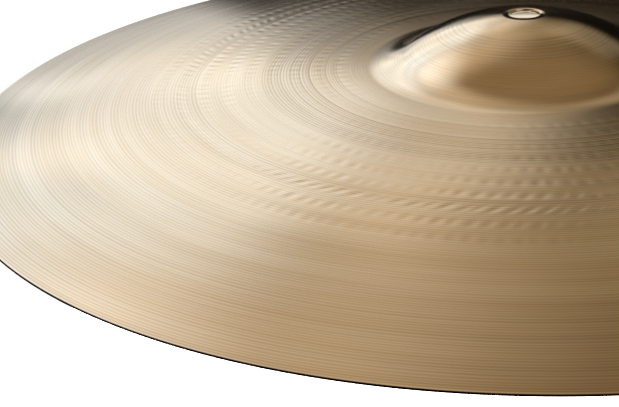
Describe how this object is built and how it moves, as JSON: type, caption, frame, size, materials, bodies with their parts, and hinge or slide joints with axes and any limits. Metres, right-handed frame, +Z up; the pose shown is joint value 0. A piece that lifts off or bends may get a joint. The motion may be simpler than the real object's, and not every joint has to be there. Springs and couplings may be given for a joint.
{
  "type": "crash cymbal",
  "caption": "Round bronze plate, hammered and lathed, bowed down to a thin edge, with a raised bell and a mounting hole at its centre; struck with a stick.",
  "frame": {"origin": "on the cymbal's axis, in the plane that its edge rests on", "axes": "+Z up along the axis, out of the top of the bell; X and Y are alike, because the cymbal is round"},
  "size_m": [0.4572, 0.4572, 0.0398],
  "materials": {
    "bronze": "cast bronze, lathed all over and buffed to a brilliant shine"
  },
  "bodies": {
    "root": {"cymbal": "bronze"}
  },
  "joints": []
}
